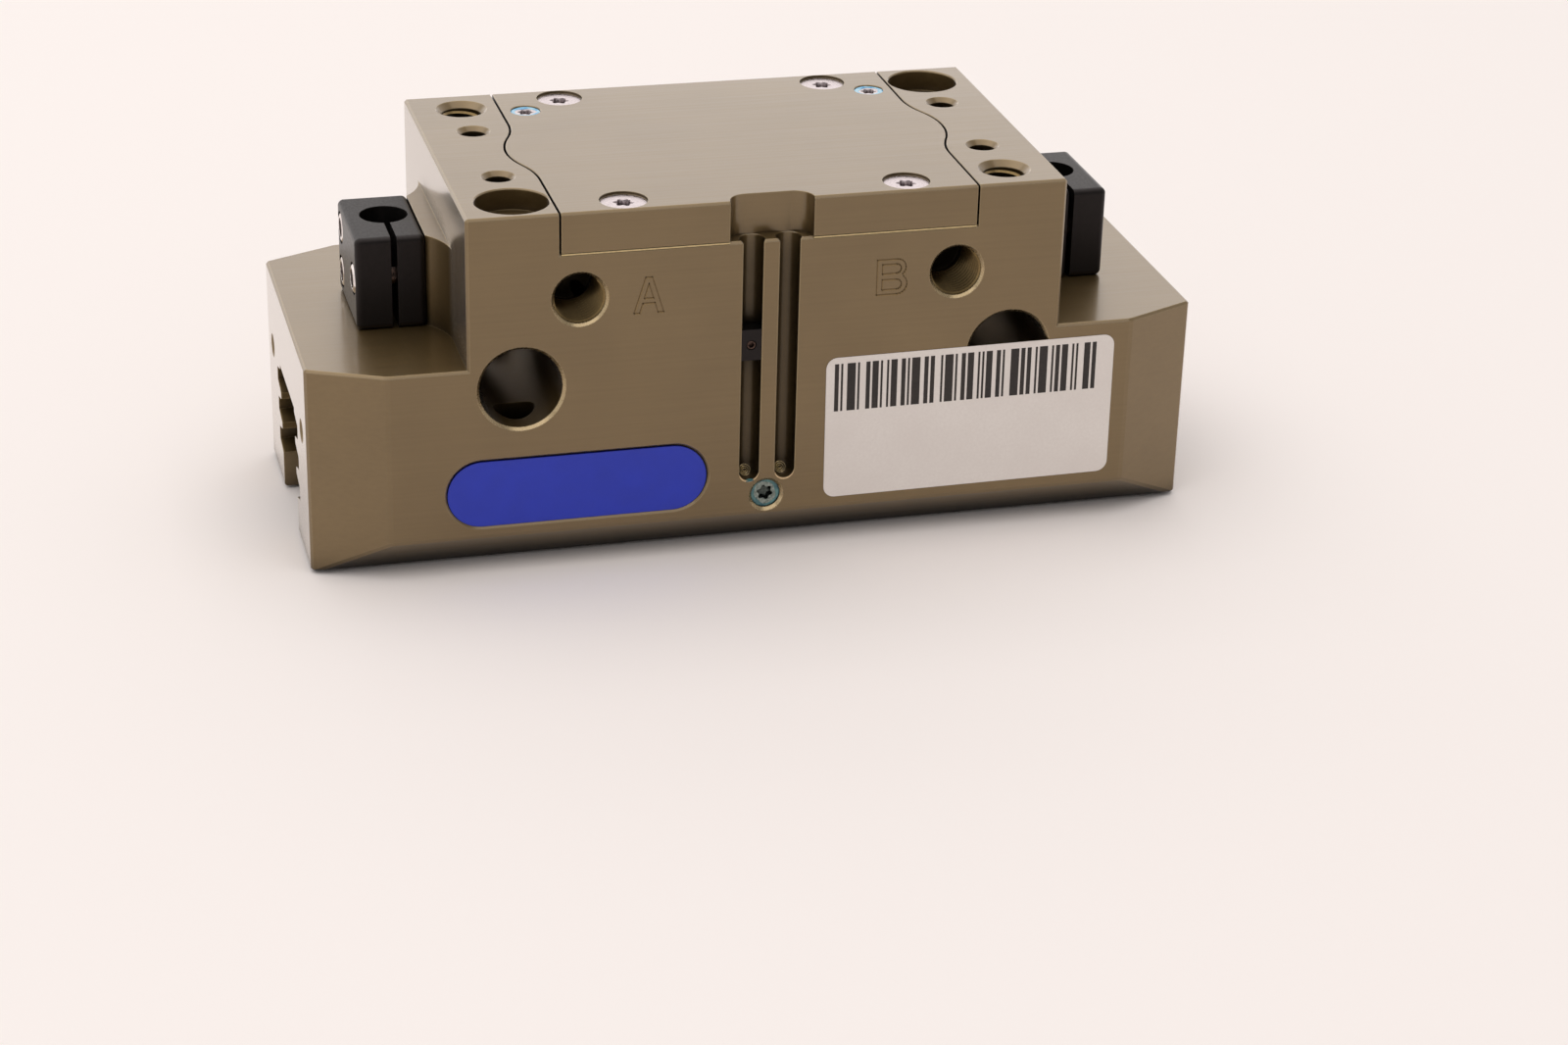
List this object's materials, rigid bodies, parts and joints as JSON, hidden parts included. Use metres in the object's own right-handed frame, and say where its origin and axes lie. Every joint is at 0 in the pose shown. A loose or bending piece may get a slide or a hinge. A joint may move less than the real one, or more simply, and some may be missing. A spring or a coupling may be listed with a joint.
{
  "type": "pneumatic parallel gripper",
  "caption": "Pneumatic parallel gripper: anodised housing with an oval piston and wedge hook that drive opposed multi-tooth base jaws, with clamps for position switches.",
  "frame": {"origin": "midway between the jaws, on the plane of their finger faces", "axes": "+X along the jaw travel, +Z from the finger faces towards the cylinder cover, -Y towards the air ports"},
  "size_m": [0.151, 0.0606, 0.062],
  "materials": {
    "hard_anodised_aluminium": "hard anodised, satin, olive brown",
    "bare_aluminium": "machined",
    "hardened_steel": "ground and hardened",
    "zinc_steel": "bright zinc",
    "black_anodised_aluminium": "black anodised, satin",
    "seal_rubber": "moulded",
    "magnet_nickel": "nickel plated"
  },
  "bodies": {
    "housing": {"housing": "hard_anodised_aluminium", "cylinder_cover": "hard_anodised_aluminium", "cover_seal": "seal_rubber", "cover_screws": "zinc_steel", "cover_air_plugs": "zinc_steel", "purge_plug": "zinc_steel", "rod_seal": "seal_rubber", "switch_stop": "black_anodised_aluminium", "switch_stop_screw": "zinc_steel", "jaw_side_cover": "zinc_steel", "jaw_side_cover_screws": "zinc_steel", "left_switch_bracket": "black_anodised_aluminium", "left_bracket_screws": "zinc_steel", "left_clamp_screw": "zinc_steel", "right_switch_bracket": "black_anodised_aluminium", "right_bracket_screws": "zinc_steel", "right_clamp_screw": "zinc_steel"},
    "piston": {"piston": "bare_aluminium", "piston_seal": "seal_rubber", "piston_magnets": "magnet_nickel", "piston_bolt": "zinc_steel", "wedge_hook": "hardened_steel"},
    "left_jaw": {"left_base_jaw": "hardened_steel", "left_switch_cam": "hardened_steel", "left_cam_screw": "zinc_steel"},
    "right_jaw": {"right_base_jaw": "hardened_steel", "right_switch_cam": "hardened_steel", "right_cam_screw": "zinc_steel"}
  },
  "joints": [
    {"name": "piston_stroke", "type": "slide", "parent": "housing", "child": "piston", "axis": [0, 0, 1], "range_m": [0, 0.01]},
    {"name": "left_jaw_slide", "type": "slide", "parent": "housing", "child": "left_jaw", "axis": [-1, 0, 0], "range_m": [0, 0.006]},
    {"name": "right_jaw_slide", "type": "slide", "parent": "housing", "child": "right_jaw", "axis": [1, 0, 0], "range_m": [0, 0.006]}
  ],
  "couplings": [
    {"joint": "left_jaw_slide", "follows": "piston_stroke", "ratio": 0.6},
    {"joint": "right_jaw_slide", "follows": "piston_stroke", "ratio": 0.6}
  ]
}
